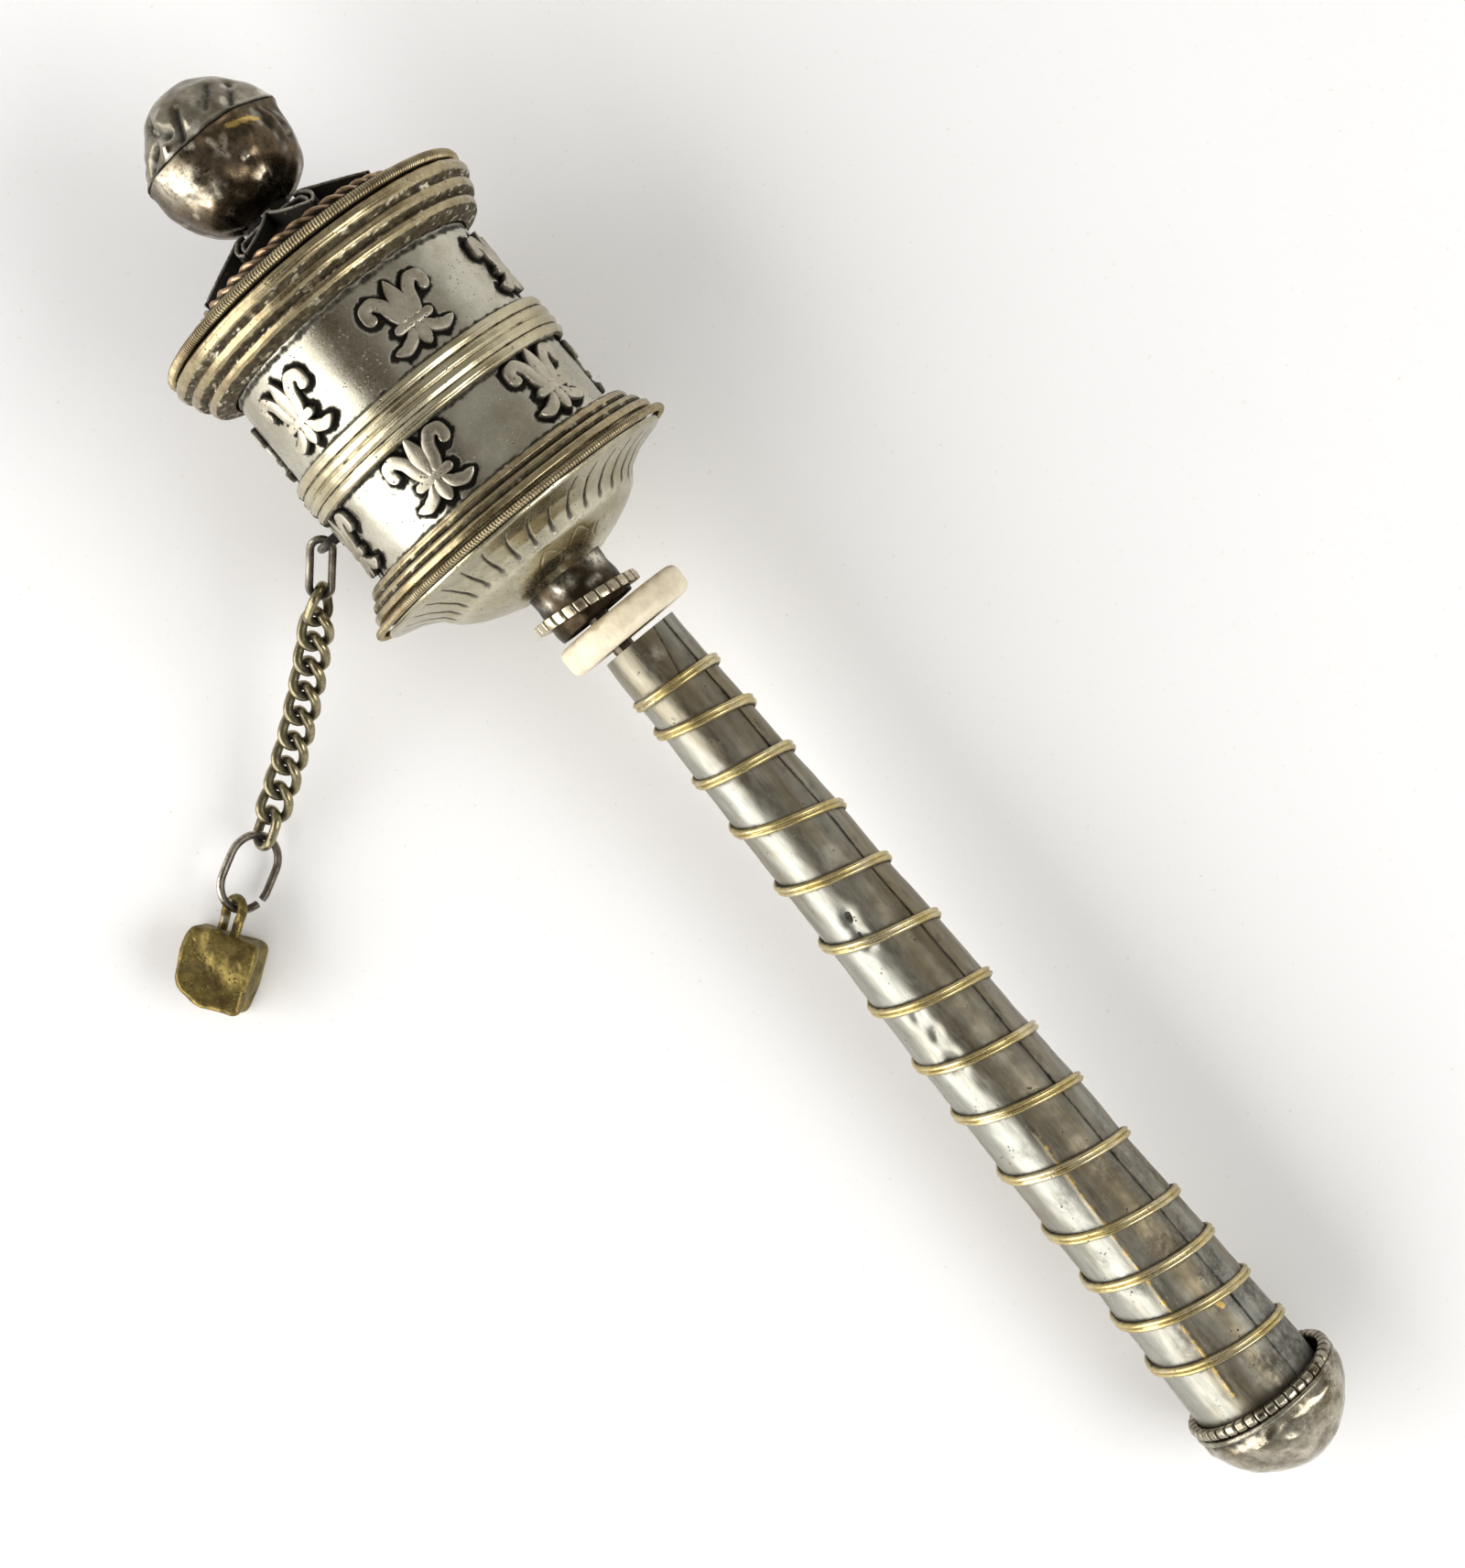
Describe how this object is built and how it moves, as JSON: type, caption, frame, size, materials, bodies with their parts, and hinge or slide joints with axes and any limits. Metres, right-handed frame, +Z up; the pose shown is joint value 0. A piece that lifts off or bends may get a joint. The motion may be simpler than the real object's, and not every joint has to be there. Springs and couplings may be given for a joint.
{
  "type": "prayer wheel",
  "caption": "Hand-held prayer wheel: a banded metal drum that spins on a rod in a wire-bound tapered metal handle, with a bone washer, a ball finial and a chained brass weight.",
  "frame": {"origin": "the middle of the footprint, on the table the wheel lies on", "axes": "+X along the wheel from the finial to the pommel, level with the table; +Y sideways, away from the chain; +Z up from the table"},
  "size_m": [0.2392, 0.1044, 0.0529],
  "materials": {
    "white_metal_shell": "satin, finely pitted",
    "scroll_silver": "worn satin with black patina at the edges",
    "warm_nickel": "polished, warm, with dark grooves",
    "black_patina": "blackened",
    "sleeve_beads": "worn bright over black",
    "grey_sheet": "satin with dents and faint brown streaks",
    "polished_silver": "polished, dark",
    "finial_grey": "smooth silver grey with creases",
    "finial_bronze": "dark bronze patina with a worn bright patch",
    "brass_wire": "polished",
    "chain_brass": "antique",
    "dark_steel": "dark oxidised",
    "cast_brass": "rough cast, pitted",
    "wood": "raw",
    "bone": "smooth, waxy",
    "paper": "matte"
  },
  "bodies": {
    "handle": {"axle_rod": "dark_steel", "handle_core": "wood", "handle_sheet": "grey_sheet", "binding_wire": "brass_wire", "pommel_cap": "polished_silver", "pommel_bead_ring": "polished_silver", "finial_outer_half": "finial_grey", "finial_inner_half": "finial_bronze", "finial_neck": "black_patina"},
    "washer": {"bone_washer": "bone"},
    "drum": {"axle_sleeve": "black_patina", "bottom_cover": "white_metal_shell", "bottom_milled_wire": "warm_nickel", "bottom_rim_band": "warm_nickel", "chain_staple": "dark_steel", "lower_bush": "black_patina", "lower_shell": "white_metal_shell", "middle_band": "warm_nickel", "paper_roll": "paper", "petal_crown": "black_patina", "rope_wire": "warm_nickel", "scroll_lower_1": "scroll_silver", "scroll_lower_2": "scroll_silver", "scroll_lower_3": "scroll_silver", "scroll_lower_4": "scroll_silver", "scroll_lower_5": "scroll_silver", "scroll_lower_6": "scroll_silver", "scroll_upper_1": "scroll_silver", "scroll_upper_2": "scroll_silver", "scroll_upper_3": "scroll_silver", "scroll_upper_4": "scroll_silver", "scroll_upper_5": "scroll_silver", "scroll_upper_6": "scroll_silver", "sleeve_bead_ring": "sleeve_beads", "top_cover": "black_patina", "top_milled_wire": "warm_nickel", "top_rim_band": "warm_nickel", "upper_bush": "black_patina", "upper_shell": "white_metal_shell"},
    "long_link": {"long_link": "dark_steel"},
    "curb_link_01": {"curb_link_01": "chain_brass"},
    "curb_link_02": {"curb_link_02": "chain_brass"},
    "curb_link_03": {"curb_link_03": "chain_brass"},
    "curb_link_04": {"curb_link_04": "chain_brass"},
    "curb_link_05": {"curb_link_05": "chain_brass"},
    "curb_link_06": {"curb_link_06": "chain_brass"},
    "curb_link_07": {"curb_link_07": "chain_brass"},
    "curb_link_08": {"curb_link_08": "chain_brass"},
    "curb_link_09": {"curb_link_09": "chain_brass"},
    "curb_link_10": {"curb_link_10": "chain_brass"},
    "end_ring": {"end_ring": "dark_steel"},
    "chain_weight": {"chain_weight": "cast_brass"}
  },
  "joints": [
    {"name": "drum_spin", "type": "hinge", "parent": "handle", "child": "drum", "pos_m": [-0.04768, 0.02729, 0.0246], "axis": [0.9964, 0, -0.0852], "continuous": true},
    {"name": "washer_turn", "type": "hinge", "parent": "handle", "child": "washer", "pos_m": [-0.0288, 0.02969, 0.02298], "axis": [0.9964, 0, -0.0852], "continuous": true},
    {"name": "long_link_swing", "type": "hinge", "parent": "drum", "child": "long_link", "pos_m": [-0.06267, 0.00491, 0.02417], "axis": [0.6669, 0.7311, -0.144], "range_deg": [-25, 18]},
    {"name": "curb_link_01_swing", "type": "hinge", "parent": "long_link", "child": "curb_link_01", "pos_m": [-0.05851, 0.00029, 0.01997], "axis": [0.788, 0.6157, 0], "range_deg": [-10, 16]},
    {"name": "curb_link_02_swing", "type": "hinge", "parent": "curb_link_01", "child": "curb_link_02", "pos_m": [-0.05652, -0.00226, 0.01788], "axis": [-0.7834, -0.1341, -0.6068], "range_deg": [-20, 20]},
    {"name": "curb_link_03_swing", "type": "hinge", "parent": "curb_link_02", "child": "curb_link_03", "pos_m": [-0.05454, -0.0049, 0.0159], "axis": [0.3747, 0.6896, -0.6198], "range_deg": [-20, 20]},
    {"name": "curb_link_04_swing", "type": "hinge", "parent": "curb_link_03", "child": "curb_link_04", "pos_m": [-0.05256, -0.00764, 0.01405], "axis": [0.7621, 0.1412, 0.6319], "range_deg": [-20, 20]},
    {"name": "curb_link_05_swing", "type": "hinge", "parent": "curb_link_04", "child": "curb_link_05", "pos_m": [-0.05061, -0.01047, 0.01232], "axis": [-0.4268, -0.6357, 0.6432], "range_deg": [-20, 20]},
    {"name": "curb_link_06_swing", "type": "hinge", "parent": "curb_link_05", "child": "curb_link_06", "pos_m": [-0.04867, -0.01338, 0.01072], "axis": [-0.7416, -0.1515, -0.6535], "range_deg": [-20, 20]},
    {"name": "curb_link_07_swing", "type": "hinge", "parent": "curb_link_06", "child": "curb_link_07", "pos_m": [-0.04676, -0.01639, 0.00925], "axis": [0.4762, 0.5776, -0.663], "range_deg": [-20, 20]},
    {"name": "curb_link_08_swing", "type": "hinge", "parent": "curb_link_07", "child": "curb_link_08", "pos_m": [-0.04488, -0.01947, 0.00791], "axis": [0.7223, 0.1649, 0.6716], "range_deg": [-20, 20]},
    {"name": "curb_link_09_swing", "type": "hinge", "parent": "curb_link_08", "child": "curb_link_09", "pos_m": [-0.04304, -0.02263, 0.00671], "axis": [-0.5223, -0.5154, 0.6793], "range_deg": [-20, 20]},
    {"name": "curb_link_10_swing", "type": "hinge", "parent": "curb_link_09", "child": "curb_link_10", "pos_m": [-0.04124, -0.02586, 0.00564], "axis": [-0.7046, -0.1809, -0.6861], "range_deg": [-20, 20]},
    {"name": "end_ring_swing", "type": "hinge", "parent": "curb_link_10", "child": "end_ring", "pos_m": [-0.03949, -0.02916, 0.00471], "axis": [-0.6005, -0.3752, -0.7061], "range_deg": [-20, 10]},
    {"name": "chain_weight_swing", "type": "hinge", "parent": "end_ring", "child": "chain_weight", "pos_m": [-0.03479, -0.03763, 0.00522], "axis": [0.6087, 0.4262, 0.6691], "range_deg": [-16, 16]}
  ]
}
